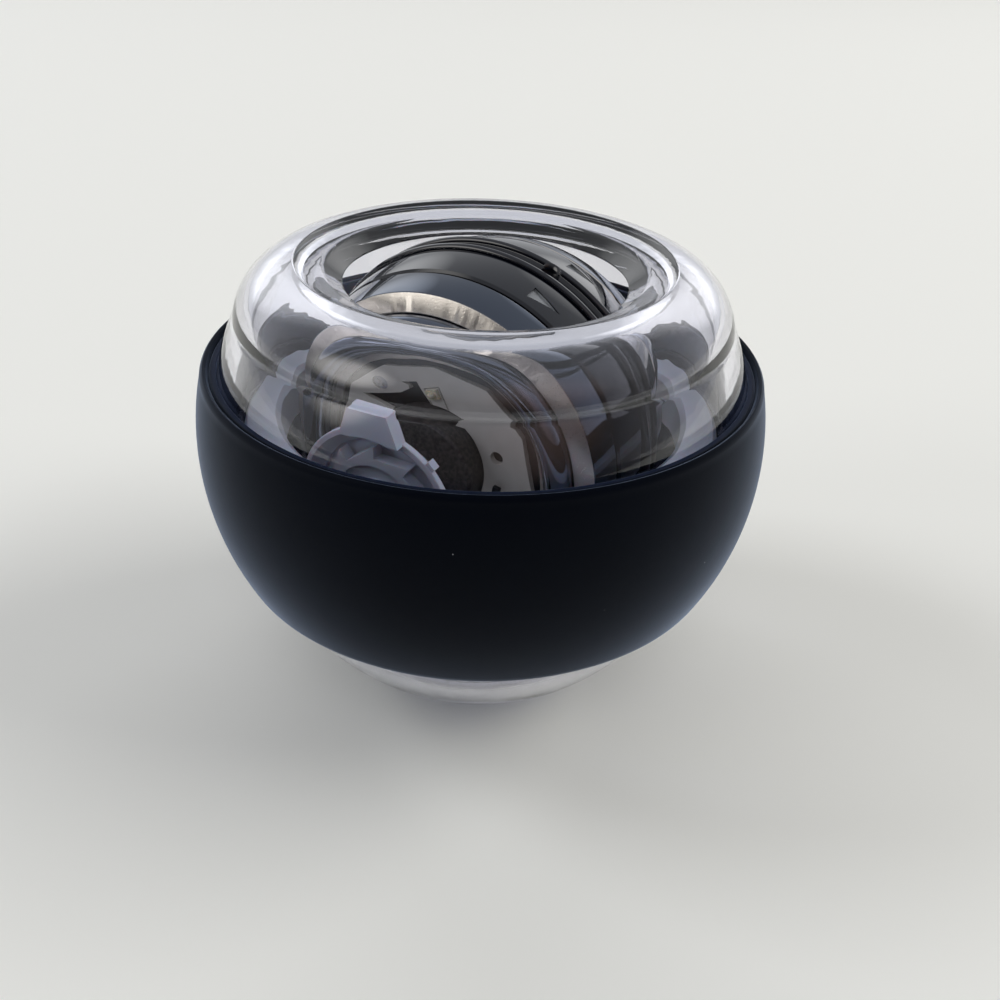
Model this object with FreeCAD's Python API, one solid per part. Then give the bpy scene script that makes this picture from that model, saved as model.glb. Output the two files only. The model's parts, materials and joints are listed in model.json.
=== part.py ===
import FreeCAD, Part
import math
import os

# Gyroscopic wrist ball with a wound spring start. Millimetres, +Z up.
# Origin: the middle of the face that the ball rests on. The ball's centre stands above it.
# Shell sizes are radii from the upright axis and heights above the ball's centre.
# Rotor sizes are places along the axle, from the ball's centre, and radii from the axle.

Vector = FreeCAD.Vector
X_AXIS = Vector(1, 0, 0)
Z_AXIS = Vector(0, 0, 1)
CENTRE = Vector(0, 0, 0)
FULL_TURN = 360

# Sizes run from the axle outwards, so each piece follows what it encloses.

# Fits, and where the axle points
overrun = 5.0              # how far a cutting solid passes what it cuts
fit_gap = 0.1              # radial gap between seated pieces
slide_gap = 0.05           # radial running gap on the axle
axle_heading = 27.7        # degrees from straight ahead to the near end of the axle

# Axle
axle_radius = 1.5
axle_tip_radius = 1.25
axle_tip_gap = 0.15
axle_tip_length = 2.2
axle_tip_round = 0.4

# Spring barrel, mainspring and arbor
arbor_wall = 0.75
arbor_radius = axle_radius + slide_gap + arbor_wall
spring_pitch = 0.93
spring_strip = 0.45
spring_half_turns = 7
spring_end_gap = 0.5
spring_outer_radius = arbor_radius + fit_gap + spring_pitch / 2 * (spring_half_turns - 1) + spring_strip
spring_room = 0.39         # from the unwound spring to the barrel's wall
barrel_wall = 0.8
barrel_radius = spring_outer_radius + spring_room + barrel_wall
barrel_floor = 1.0
barrel_lid = 0.9
barrel_lid_edge = 0.3

# Circuit board and what is on it
board_thickness = 0.8
board_sides = 12
board_gap = 0.25
board_bore_radius = barrel_radius + board_gap
board_width = 6.12
board_corner_radius = board_bore_radius + board_width
board_corner_angle = 2.0
cutout_angles = (-58.9, -28.3, -18.2, -17.5, -22.0, -10.4, 0.0)
cutout_radius_shares = (0.863, 0.669, 0.702, 0.742, 0.788, 0.792, 0.53)
hole_radius = 0.8
hole_place = 9.07
hole_angles = (71.4, 191.4)
led_size = 1.4
led_height = 0.5
led_lens_radius = 0.5
led_inset = 4.3
led_place = board_corner_radius - led_inset
led_angle = 2.3
led_count = 3
tongue_width = 1.9         # a fine groove marks off a tongue round each LED, in to the bore
tongue_length = 4.2
tongue_reach = 1.0
tongue_tilt = 23.8
tongue_groove = 0.15
tongue_depth = 0.35
chip_angle = 165.0
chip_width = 3.6
chip_length = 4.6
chip_height = 1.1
capacitor_angle = 215.0
capacitor_radius = 1.5
capacitor_height = 1.6
resistor_angles = (100.0, 265.0, 283.0)
resistor_width = 0.9
resistor_length = 1.7
resistor_height = 0.5

# Rotor core and its screws
core_rim = 0.7
core_radius = board_corner_radius + core_rim
screw_inset = 2.9
screw_place = core_radius - screw_inset
screw_angle = -39.0
screw_count = 2
screw_head_radius = 1.0
screw_head_height = 0.45
screw_sink = 0.2           # the heads lie a little below the face of what they hold
screw_shank_radius = 0.55
screw_length = 5.0
screw_slot_width = 0.3
screw_slot_depth = 0.25

# Coil and bobbin in the far end of the core
bobbin_flange = 0.5
bobbin_wall = 0.7
screw_wall = 0.3           # core left between the bobbin and the screws
coil_outer_radius = screw_place - screw_shank_radius - screw_wall - bobbin_flange
coil_inner_radius = 5.6
coil_length = 3.2

# Weight rings, and the trim rings let into them: radii
weight_bore_radius = core_radius + fit_gap
trim_bore_inset = 1.0
trim_inner_radius = weight_bore_radius + trim_bore_inset
trim_width = 3.2
trim_outer_radius = trim_inner_radius + trim_width
trim_inset = 0.2
weight_cone_end_radius = trim_outer_radius + trim_inset
cone_drop = 2.0
weight_mirror_end_radius = weight_cone_end_radius + cone_drop
mirror_band_drop = 1.1
weight_crest_radius = weight_mirror_end_radius + mirror_band_drop
weight_crest_round = 0.45
trim_straight = 0.9

# Drum halves. Their face is crowned, so the drum is fattest in its middle.
weight_crest_drop = 0.15
drum_crown = 0.95
drum_radius = weight_crest_radius + weight_crest_drop + drum_crown
drum_half_width = 7.4
drum_wall = 2.2
drum_edge = 0.25
drum_line_place = 2.25
drum_line_width = 0.3
drum_line_depth = 0.4
bead_rise = 0.5
bead_crest_radius = drum_radius + bead_rise
bead_crest_place = 1.5
bead_end_place = 1.05
bead_end_drop = 0.15
bead_end_radius = drum_radius - bead_end_drop
groove_half_width = 0.75
groove_depth = 1.0
groove_radius = drum_radius - groove_depth
drum_joint = 0.1
string_hole_radius = 0.9
string_relief_radius = 1.5
string_relief_depth = 1.2
string_hole_angle = 21.0
arrow_count = 3
arrow_angle = 22.2
arrow_place = 5.1
arrow_length = 4.2
arrow_width = 2.0
arrow_depth = 0.35

# Places along the axle of the weight rings, the core and what it holds
ring_gap = 0.3
weight_body_radius = drum_radius - drum_wall
weight_crest_gap = 0.2
weight_crest_place = drum_half_width + weight_crest_gap
mirror_band_length = 4.0
weight_mirror_end_place = weight_crest_place + mirror_band_length
cone_length = 0.9
weight_cone_end_place = weight_mirror_end_place + cone_length
weight_seat_depth = 0.3
weight_seat_place = weight_cone_end_place - weight_seat_depth
core_inset = 0.4
core_half_width = weight_seat_place - core_inset
barrel_sink = 3.6
barrel_floor_place = core_half_width - barrel_sink
barrel_length = 6.5
barrel_end_place = barrel_floor_place + barrel_length
arbor_end_gap = 0.6
arbor_end_place = barrel_floor_place + barrel_floor + arbor_end_gap

# Ratchet wheel that the arbor turns
wheel_teeth = 10
wheel_thickness = 1.5
wheel_hub_wall = 1.1
wheel_hub_radius = arbor_radius + wheel_hub_wall
wheel_web_width = 1.7
wheel_web_radius = wheel_hub_radius + wheel_web_width
wheel_web_drop = 0.5
wheel_rim = 0.9
wheel_root_radius = wheel_web_radius + wheel_rim
tooth_depth = 1.4
wheel_tip_radius = wheel_root_radius + tooth_depth
wheel_gap = 0.3

# Track ring round the rotor
drum_ring_gap = 2.1        # from the beads to the inside of the track ring
ring_inner_radius = bead_crest_radius + drum_ring_gap
ring_width = 4.6
ring_outer_radius = ring_inner_radius + ring_width
ring_half_height = 3.0
ring_edge = 0.6
ring_step = 0.5
ring_sphere_radius = ring_outer_radius + ring_step

# The ring's two bosses, and the bushes in them. Each is a dish that narrows behind its rim.
boss_dish = 1.2            # width of the sloping ledge from the wheel's bore to the rim
boss_dish_depth = 1.1
boss_bore = wheel_tip_radius + wheel_gap
boss_rim = 0.6
boss_rim_bore = boss_bore + boss_dish
boss_radius = boss_rim_bore + boss_rim
boss_taper = 1.9
boss_back_radius = boss_radius - boss_taper
boss_face_drop = 6.1
boss_face_place = ring_sphere_radius - boss_face_drop
boss_rim_length = 0.7
boss_depth = 2.65
boss_floor = 0.9
boss_floor_place = boss_face_place - boss_depth
boss_edge = 0.15
nub_angle = 44.0
nub_width = 1.1
nub_reach = 0.45
nub_length = 1.0
ear_width = 4.6            # the ear that stands on top of each boss
ear_foot_width = 7.2
ear_foot_drop = 0.9
ear_reach = 2.6
ear_proud = 1.0
ear_thickness = 1.7
bush_wall = 1.0
bush_proud = 0.3
wheel_place = boss_floor_place + boss_floor + wheel_gap

# Pawl and its pocket in the near boss. The pawl is drawn lifted clear of the teeth.
pocket_angle = 200.0
pocket_radius = 5.6
pocket_reach = 2.0
pocket_place = wheel_tip_radius + pocket_reach
lobe_wall = 0.9
pawl_lift_angle = 12.0
pawl_pivot_angle = 218.0
pawl_pivot_reach = 3.2
pawl_pivot_place = wheel_tip_radius + pawl_pivot_reach
pawl_hub_radius = 1.3
pawl_pin_radius = 0.7
pawl_tip_angle = 181.5
pawl_bite_gap = 0.35
pawl_tip_place = wheel_root_radius + pawl_bite_gap
pawl_heel_angle = 189.0
pawl_back_reach = 1.4
pawl_back_place = wheel_tip_radius + pawl_back_reach
pawl_thickness = 1.1
pawl_rise = 0.25

# Clear shells
ring_clearance = 0.7       # from the ring's round outside to the shells
shell_wall = 2.5
shell_radius = ring_sphere_radius + ring_clearance + shell_wall
race_wall = 1.2
race_radius = shell_radius - race_wall
seam_height = 3.5
crown_drop = 12.0
crown_height = shell_radius - crown_drop
crown_inset = 11.0
crown_radius = shell_radius - crown_inset
crown_floor_wall = 2.4
roll_height = 6.3
crease_height = crown_height - roll_height
crest_drop = 1.2
crest_height = crown_height - crest_drop
crown_width = 3.2
crest_radius = crown_radius - crown_width
crest_step = 0.4
crest_step_drop = 0.2
lip_drop = 1.6
lip_height = crest_height - lip_drop
lip_width = 2.4
lip_radius = crest_radius - lip_width
lip_edge = 0.3
bowl_rise = 16.5
bowl_height = shell_radius - bowl_rise
bowl_bulge = 2.2
foot_drop = 3.0            # how far the foot stands below the round of the shell
centre_height = shell_radius + foot_drop
foot_radius = 13.0
foot_corner = 1.5
foot_ring_width = 2.2
foot_recess_radius = foot_radius - foot_ring_width
foot_recess = 0.5
floor_wall = 2.4
floor_inset = 1.6
floor_radius = foot_radius - floor_inset
floor_corner = 1.2

# Clear disc with fine ribs on the floor of the lower shell
disc_gap = 0.8
disc_radius = floor_radius - disc_gap
disc_thickness = 0.9
disc_ribs = 36
rib_inner_radius = 2.6
rib_margin = 0.6
rib_width = 0.35
rib_height = 0.3
disc_boss_radius = 2.0
disc_boss_height = 0.5

# Grip band
band_thickness = 2.0
band_radius = shell_radius + band_thickness
band_centre_drop = 0.7
band_top = 9.0
band_bowl_gap = 0.5
band_bottom = bowl_height - band_bowl_gap
band_bead = 0.9
band_bead_rise = 0.5
band_groove = 0.35
band_edge = 0.5

# Far cover and the magnets in the far boss
cover_thickness = 1.0
cover_rib_radius = 8.6
cover_rib_width = 1.2
cover_rib_height = 0.6
magnet_count = 4
magnet_radius = 1.65
magnet_thickness = 1.0
magnet_place = 5.3
magnet_cover_thickness = 0.6


def at(across, up):
    """A point in the plane of a section: X across, Z up."""
    return Vector(across, 0, up)


def section(start, *steps):
    """A closed face. A step of one point is a line, a step of two is an arc through the first."""
    edges = []
    here = start
    for step in steps + ((start,),):
        if len(step) == 1:
            edges.append(Part.LineSegment(here, step[0]).toShape())
        else:
            edges.append(Part.Arc(here, step[0], step[1]).toShape())
        here = step[-1]
    return Part.Face(Part.Wire(edges))


def turned(face, axis):
    return face.revolve(CENTRE, axis, FULL_TURN)


def mid_arc(middle, start, end):
    """The point half way along the shorter arc from start to end round middle."""
    chord_middle = (start + end) * 0.5
    direction = (chord_middle - middle).normalize()
    return middle + direction * (start - middle).Length


def bulged(start, end, bulge):
    """The middle point of an arc that leaves the chord by bulge, on its outer side."""
    chord = (end - start).normalize()
    outward = Vector(chord.z, 0, -chord.x)
    if outward.x < 0:
        outward = outward * -1
    return (start + end) * 0.5 + outward * bulge


def sphere_across(radius, height):
    return math.sqrt(radius ** 2 - height ** 2)


def disc(radius, start, length, bore=0):
    """A cylinder along the axle, from start towards the near end, with an optional bore."""
    solid = Part.makeCylinder(radius, length, Vector(start, 0, 0), X_AXIS)
    if bore > 0:
        hole = Part.makeCylinder(bore, length + 2 * overrun, Vector(start - overrun, 0, 0), X_AXIS)
        solid = solid.cut(hole)
    return solid


def round_axle(place, radius, angle):
    """A point beside the axle. The angle runs from the top towards +Y."""
    turn = math.radians(angle)
    return Vector(place, radius * math.sin(turn), radius * math.cos(turn))


def spun(shape, angle):
    """Turn a shape that stands at the top of the rotor to an angle round the axle."""
    moved = shape.copy()
    moved.rotate(CENTRE, X_AXIS, -angle)
    return moved


def mirrored(shape):
    """The same piece at the far end of the axle."""
    return shape.mirror(CENTRE, X_AXIS)


def prism(points, length):
    """A flat outline at one place on the axle, drawn out towards the near end."""
    wire = Part.makePolygon(points + [points[0]])
    return Part.Face(wire).extrude(Vector(length, 0, 0))


def upper_shell():
    sphere_inner = shell_radius - shell_wall
    crease = at(sphere_across(shell_radius, crease_height), crease_height)
    roll_radius = ((crease.x - crown_radius) ** 2 + (crown_height - crease_height) ** 2)
    roll_radius = roll_radius / (2 * (crown_height - crease_height))
    roll_middle = at(crown_radius, crown_height - roll_radius)
    crown = at(crown_radius, crown_height)
    crest = at(crest_radius, crest_height)
    step = at(crest_radius - crest_step, crest_height - crest_step_drop)
    lip = at(lip_radius, lip_height)
    lip_under = at(lip_radius + lip_edge, lip_height - lip_edge)
    under_crown = at(crown_radius, crown_height - crown_floor_wall)
    inner_roll = roll_radius - crown_floor_wall
    reach = roll_middle.Length
    along = (sphere_inner ** 2 + reach ** 2 - inner_roll ** 2) / (2 * reach)
    aside = math.sqrt(sphere_inner ** 2 - along ** 2)
    toward = Vector(roll_middle).normalize()
    inner_crease = toward * along + Vector(toward.z, 0, -toward.x) * aside
    race_top = axle_tip_radius + fit_gap
    inner_foot = at(sphere_across(sphere_inner, race_top), race_top)
    spigot = race_radius - fit_gap
    outer_foot = at(sphere_across(shell_radius, seam_height), seam_height)
    face = section(
        outer_foot,
        (mid_arc(CENTRE, outer_foot, crease), crease),
        (mid_arc(roll_middle, crease, crown), crown),
        (bulged(crest, crown, 0) + Vector(0, 0, crest_step_drop), crest),
        (step,),
        (lip,),
        (lip_under,),
        (under_crown,),
        (mid_arc(roll_middle, under_crown, inner_crease), inner_crease),
        (mid_arc(CENTRE, inner_crease, inner_foot), inner_foot),
        (at(spigot, race_top),),
        (at(spigot, seam_height),),
    )
    return turned(face, Z_AXIS)


def lower_shell():
    sphere_inner = shell_radius - shell_wall
    rim_top = seam_height - fit_gap
    rim = at(sphere_across(shell_radius, rim_top), rim_top)
    bowl = at(sphere_across(shell_radius, bowl_height), -bowl_height)
    corner_top = at(foot_radius + foot_corner, foot_corner - centre_height)
    ground = at(foot_radius, -centre_height)
    floor_top = floor_wall - centre_height
    inner_bowl = at(sphere_across(sphere_inner, bowl_height), -bowl_height)
    inner_corner = at(floor_radius + floor_corner, floor_top + floor_corner)
    race_floor = axle_tip_radius + fit_gap
    inner_rim = at(sphere_across(sphere_inner, race_floor), -race_floor)
    foot_middle = at(foot_radius, foot_corner - centre_height)
    floor_middle = at(floor_radius, floor_top + floor_corner)
    face = section(
        rim,
        (mid_arc(CENTRE, rim, bowl), bowl),
        (bulged(bowl, corner_top, bowl_bulge), corner_top),
        (mid_arc(foot_middle, corner_top, ground), ground),
        (at(foot_recess_radius, -centre_height),),
        (at(foot_recess_radius - foot_recess, foot_recess - centre_height),),
        (at(0, foot_recess - centre_height),),
        (at(0, floor_top),),
        (at(floor_radius, floor_top),),
        (mid_arc(floor_middle, at(floor_radius, floor_top), inner_corner), inner_corner),
        (bulged(inner_bowl, inner_corner, bowl_bulge), inner_bowl),
        (mid_arc(CENTRE, inner_bowl, inner_rim), inner_rim),
        (at(race_radius, -race_floor),),
        (at(race_radius, rim_top),),
    )
    return turned(face, Z_AXIS)


def foot_disc():
    base = floor_wall - centre_height
    solid = Part.makeCylinder(disc_radius, disc_thickness, Vector(0, 0, base))
    top = base + disc_thickness
    boss = Part.makeCylinder(disc_boss_radius, disc_boss_height, Vector(0, 0, top))
    length = disc_radius - rib_margin - rib_inner_radius
    corner = Vector(rib_inner_radius, -rib_width / 2, top)
    rib = Part.makeBox(length, rib_width, rib_height, corner)
    ribs = []
    for index in range(disc_ribs):
        copy = rib.copy()
        copy.rotate(CENTRE, Z_AXIS, FULL_TURN * index / disc_ribs)
        ribs.append(copy)
    return solid.multiFuse([boss] + ribs).removeSplitter()


def grip_band():
    middle = at(0, -band_centre_drop)
    seat = shell_radius + slide_gap
    outer_top_height = band_top - band_bead_rise
    outer_top = at(sphere_across(band_radius, outer_top_height + band_centre_drop), outer_top_height)
    bead_top = at(outer_top.x - band_bead / 2, band_top + band_bead_rise)
    bead_end = at(outer_top.x - band_bead, band_top)
    groove = at(bead_end.x - band_groove / 2, band_top - band_groove)
    inner_lip = at(bead_end.x - band_groove, band_top)
    inner_top = at(sphere_across(seat, band_top), band_top)
    inner_bottom = at(sphere_across(seat, band_bottom), -band_bottom)
    low_height = band_bottom - band_edge
    outer_low = at(sphere_across(band_radius, low_height - band_centre_drop), -low_height)
    low = at(outer_low.x - band_edge, -band_bottom)
    face = section(
        outer_low,
        (mid_arc(middle, outer_low, outer_top), outer_top),
        (bead_top, bead_end),
        (groove,),
        (inner_lip,),
        (inner_top,),
        (mid_arc(CENTRE, inner_top, inner_bottom), inner_bottom),
        (low,),
    )
    return turned(face, Z_AXIS)


def axle():
    reach = race_radius - axle_tip_gap
    body_end = reach - axle_tip_length
    end = at(reach, axle_tip_radius - axle_tip_round)
    shoulder = at(reach - axle_tip_round, axle_tip_radius)
    round_middle = at(reach - axle_tip_round, axle_tip_radius - axle_tip_round)
    face = section(
        at(0, 0),
        (at(0, axle_radius),),
        (at(body_end, axle_radius),),
        (at(body_end, axle_tip_radius),),
        (shoulder,),
        (mid_arc(round_middle, shoulder, end), end),
        (at(reach, 0),),
    )
    half = turned(face, X_AXIS)
    return half.fuse(mirrored(half)).removeSplitter()


def bush_radius(bore):
    return bore + bush_wall


def arbor_bore():
    return axle_radius + slide_gap


def near_bush_bore():
    return arbor_radius + slide_gap


def track_ring():
    outer_edge = at(ring_outer_radius - ring_edge, ring_half_height)
    inner_edge = at(ring_inner_radius + ring_edge, ring_half_height)
    face = section(
        at(ring_inner_radius, ring_edge - ring_half_height),
        (at(ring_inner_radius, ring_half_height - ring_edge),),
        (inner_edge,),
        (outer_edge,),
        (at(ring_outer_radius, ring_half_height - ring_edge),),
        (at(ring_outer_radius, ring_edge - ring_half_height),),
        (at(outer_edge.x, -ring_half_height),),
        (at(inner_edge.x, -ring_half_height),),
    )
    band = turned(face, Z_AXIS)
    depth = boss_face_place - boss_floor_place
    rim = disc(boss_radius, boss_face_place - boss_rim_length, boss_rim_length)
    rim_edges = [edge for edge in rim.Edges if edge.BoundBox.XMin > boss_face_place - boss_edge]
    back_place = Vector(boss_floor_place, 0, 0)
    back = Part.makeCone(boss_back_radius, boss_radius, depth - boss_rim_length, back_place, X_AXIS)
    ear_start = boss_face_place + ear_proud - ear_thickness
    ear = []
    ear_foot = (ear_foot_width / 2, boss_radius - ear_foot_drop)
    ear_top = (ear_width / 2, boss_radius + ear_reach)
    for across, up in (ear_foot, ear_top):
        ear += [Vector(ear_start, -across, up), Vector(ear_start, across, up)]
    ear = prism([ear[0], ear[1], ear[3], ear[2]], ear_thickness)
    boss = rim.makeFillet(boss_edge, rim_edges).multiFuse([back, ear])
    lobe_middle = round_axle(boss_floor_place, pocket_place, pocket_angle)
    lobe = Part.makeCylinder(pocket_radius + lobe_wall, boss_floor, lobe_middle, X_AXIS)
    nub_base = Vector(boss_face_place - boss_edge - nub_length, -nub_width / 2, boss_radius - boss_rim / 2)
    nub = Part.makeBox(nub_length, nub_width, nub_reach + boss_rim / 2, nub_base)
    whole = band.multiFuse([boss, mirrored(boss), lobe, spun(nub, nub_angle)])
    whole = whole.common(Part.makeSphere(ring_sphere_radius))
    cut_start = boss_floor_place + boss_floor
    dish_place = Vector(boss_face_place - boss_dish_depth, 0, 0)
    dish = Part.makeCone(boss_bore, boss_rim_bore, boss_dish_depth, dish_place, X_AXIS)
    open_front = disc(boss_rim_bore, boss_face_place, ring_sphere_radius)
    recess = disc(boss_bore, cut_start, ring_sphere_radius).multiFuse([dish, open_front])
    pocket_middle = round_axle(cut_start, pocket_place, pocket_angle)
    pocket = Part.makeCylinder(pocket_radius, ring_sphere_radius, pocket_middle, X_AXIS)
    near_seat = disc(bush_radius(near_bush_bore()), 0, ring_sphere_radius)
    far_seat = mirrored(disc(bush_radius(arbor_bore()), 0, ring_sphere_radius))
    pin_middle = round_axle(0, pawl_pivot_place, pawl_pivot_angle)
    pin_seat = Part.makeCylinder(pawl_pin_radius, ring_sphere_radius, pin_middle, X_AXIS)
    return whole.cut([recess, mirrored(recess), pocket, near_seat, far_seat, pin_seat])


def arbor_bush():
    length = boss_floor + bush_proud
    return disc(bush_radius(near_bush_bore()), boss_floor_place - bush_proud, length, near_bush_bore())


def axle_bush():
    length = boss_face_place - boss_floor_place + bush_proud
    bush = disc(bush_radius(arbor_bore()), boss_floor_place - bush_proud, length, arbor_bore())
    return mirrored(bush)


def pawl_pin():
    length = wheel_place + wheel_thickness - boss_floor_place
    middle = round_axle(boss_floor_place, pawl_pivot_place, pawl_pivot_angle)
    return Part.makeCylinder(pawl_pin_radius, length, middle, X_AXIS)


def ratchet_pawl():
    """A hooked lever whose nose fits a tooth space. Its hub turns on the pin, here lifted clear."""
    start = wheel_place + (wheel_thickness - pawl_thickness) / 2
    pivot = round_axle(start, pawl_pivot_place, pawl_pivot_angle)
    nose = round_axle(start, pawl_tip_place, pawl_tip_angle)
    nose_back = round_axle(start, pawl_back_place, pawl_tip_angle)
    heel = round_axle(start, wheel_tip_radius + pawl_rise, pawl_heel_angle)
    heel_low = round_axle(start, pawl_tip_place + pawl_rise, (pawl_tip_angle + pawl_heel_angle) / 2)
    inward = round_axle(0, pawl_hub_radius, pawl_pivot_angle)
    root_inner = pivot - inward
    root_outer = pivot + round_axle(0, pawl_hub_radius, pawl_tip_angle)
    arm = prism([nose, nose_back, root_outer, pivot, root_inner, heel, heel_low], pawl_thickness)
    hub = Part.makeCylinder(pawl_hub_radius, pawl_thickness, pivot, X_AXIS)
    bore_start = pivot - X_AXIS * overrun
    bore = Part.makeCylinder(pawl_pin_radius + slide_gap, pawl_thickness + 2 * overrun, bore_start, X_AXIS)
    pawl = arm.fuse(hub).cut(bore).removeSplitter()
    pawl.rotate(pivot, X_AXIS, -pawl_lift_angle)
    return pawl


def ratchet_wheel():
    """Saw teeth that rise gently and drop square, so the pawl holds the wheel one way only."""
    points = []
    pitch = FULL_TURN / wheel_teeth
    for index in range(wheel_teeth):
        points.append(round_axle(wheel_place, wheel_root_radius, index * pitch))
        points.append(round_axle(wheel_place, wheel_tip_radius, (index + 1) * pitch))
    wheel = prism(points, wheel_thickness)
    face_place = wheel_place + wheel_thickness - wheel_web_drop
    web = disc(wheel_web_radius, face_place, overrun, wheel_hub_radius)
    bore = disc(arbor_radius, wheel_place - overrun, wheel_thickness + 2 * overrun)
    return wheel.cut([web, bore])


def spring_arbor():
    length = wheel_place + wheel_thickness - arbor_end_place
    return disc(arbor_radius, arbor_end_place, length, arbor_bore())


def rotor_core():
    solid = disc(core_radius, -core_half_width, 2 * core_half_width)
    near_pocket = disc(barrel_radius, barrel_floor_place, overrun)
    pocket_length = coil_length + 2 * bobbin_flange
    far_start = -core_half_width - overrun
    far_pocket = disc(coil_outer_radius + bobbin_flange, far_start, pocket_length + overrun,
                      coil_inner_radius - bobbin_wall)
    bore = disc(axle_radius, -core_half_width - overrun, 2 * core_half_width + 2 * overrun)
    near_heads = core_half_width + board_thickness - screw_sink - screw_head_height
    far_heads = core_half_width + cover_thickness - screw_sink - screw_head_height
    near_holes = around_screws(screw_shank(near_heads))
    far_holes = [mirrored(shank) for shank in around_screws(screw_shank(far_heads))]
    return solid.cut([near_pocket, far_pocket, bore] + near_holes + far_holes)


def spring_barrel():
    length = barrel_end_place - barrel_floor_place
    solid = disc(barrel_radius, barrel_floor_place, length, axle_radius)
    room = disc(barrel_radius - barrel_wall, barrel_floor_place + barrel_floor, length)
    return solid.cut(room)


def barrel_lid_piece():
    solid = disc(barrel_radius, barrel_end_place, barrel_lid)
    outer_end = barrel_end_place + barrel_lid
    rim = [edge for edge in solid.Edges if edge.BoundBox.XMin > outer_end - barrel_lid_edge]
    solid = solid.makeChamfer(barrel_lid_edge, rim)
    return solid.cut(disc(arbor_radius + fit_gap, 0, ring_sphere_radius))


def mainspring():
    """A flat strip wound in half turns whose middles step from one side of the axle to the other."""
    start = barrel_floor_place + barrel_floor + spring_end_gap
    width = barrel_end_place - start - spring_end_gap
    inner_radius = arbor_radius + fit_gap
    step = spring_pitch / 2
    inner = []
    outer = []
    for index in range(spring_half_turns):
        odd = index % 2
        side = 1 - 2 * odd
        middle = Vector(start, 0, -step * odd)
        radius = inner_radius + step * index
        for arcs, reach in ((inner, radius), (outer, radius + spring_strip)):
            first = middle - Z_AXIS * (side * reach)
            last = middle + Z_AXIS * (side * reach)
            via = middle + Vector(0, side * reach, 0)
            arcs.append((first, via, last))
    edges = [Part.Arc(*points).toShape() for points in inner + outer]
    edges.append(Part.LineSegment(inner[0][0], outer[0][0]).toShape())
    edges.append(Part.LineSegment(inner[-1][2], outer[-1][2]).toShape())
    wire = Part.Wire(Part.__sortEdges__(edges))
    return Part.Face(wire).extrude(X_AXIS * width)


def coil_start():
    return -core_half_width + bobbin_flange


def coil_bobbin():
    place = coil_start() - bobbin_flange
    length = coil_length + 2 * bobbin_flange
    solid = disc(coil_outer_radius + bobbin_flange, place, length, coil_inner_radius - bobbin_wall)
    winding = disc(coil_outer_radius + overrun, coil_start(), coil_length, coil_inner_radius)
    return solid.cut(winding)


def generator_coil():
    return disc(coil_outer_radius, coil_start(), coil_length, coil_inner_radius)


def weight_ring():
    """Zinc ring: body under the drum, round crest, mirror band, sandblasted cone, trim seat."""
    crest_start = at(weight_crest_place, weight_crest_radius - weight_crest_round)
    crest_end = at(weight_crest_place + weight_crest_round, weight_crest_radius)
    crest_middle = at(crest_end.x, crest_start.z)
    seat_edge = trim_outer_radius + fit_gap
    face = section(
        at(ring_gap, weight_bore_radius),
        (at(ring_gap, weight_body_radius),),
        (at(weight_crest_place, weight_body_radius),),
        (crest_start,),
        (mid_arc(crest_middle, crest_start, crest_end), crest_end),
        (at(weight_mirror_end_place, weight_mirror_end_radius),),
        (at(weight_cone_end_place, weight_cone_end_radius),),
        (at(weight_cone_end_place, seat_edge),),
        (at(weight_seat_place, seat_edge),),
        (at(weight_seat_place, weight_bore_radius),),
    )
    return turned(face, X_AXIS)


def trim_ring():
    round_radius = (trim_outer_radius - trim_inner_radius) / 2
    straight_end = weight_seat_place + trim_straight
    middle = at(straight_end, trim_inner_radius + round_radius)
    face = section(
        at(weight_seat_place, trim_inner_radius),
        (at(straight_end, trim_inner_radius),),
        (at(straight_end + round_radius, middle.z), at(straight_end, trim_outer_radius)),
        (at(weight_seat_place, trim_outer_radius),),
    )
    return turned(face, X_AXIS)


def drum_surface(place):
    """Radius of the crowned drum at a place along the axle."""
    crown_radius = (drum_half_width ** 2 + drum_crown ** 2) / (2 * drum_crown)
    return drum_radius - crown_radius + math.sqrt(crown_radius ** 2 - place ** 2)


def arrow_floor():
    """What the arrow pockets leave: the drum's crowned form, sunk by their depth."""
    end = drum_surface(drum_half_width) - arrow_depth
    face = section(
        at(-drum_half_width, 0),
        (at(-drum_half_width, end),),
        (at(0, drum_radius - arrow_depth), at(drum_half_width, end)),
        (at(drum_half_width, 0),),
    )
    return turned(face, X_AXIS)


def arrow_cut(side):
    """A shallow triangular pocket in the drum's face that points the way the rotor is wound."""
    base = arrow_length / 2
    centre_angle = arrow_angle + math.degrees(arrow_length / 2 / drum_radius)
    points = [
        Vector(side * arrow_place - arrow_width / 2, -base, 0),
        Vector(side * arrow_place + arrow_width / 2, -base, 0),
        Vector(side * arrow_place, base, 0),
    ]
    wire = Part.makePolygon(points + [points[0]])
    solid = Part.Face(wire).extrude(Vector(0, 0, drum_radius + overrun))
    return spun(solid.cut(arrow_floor()), centre_angle)


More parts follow.
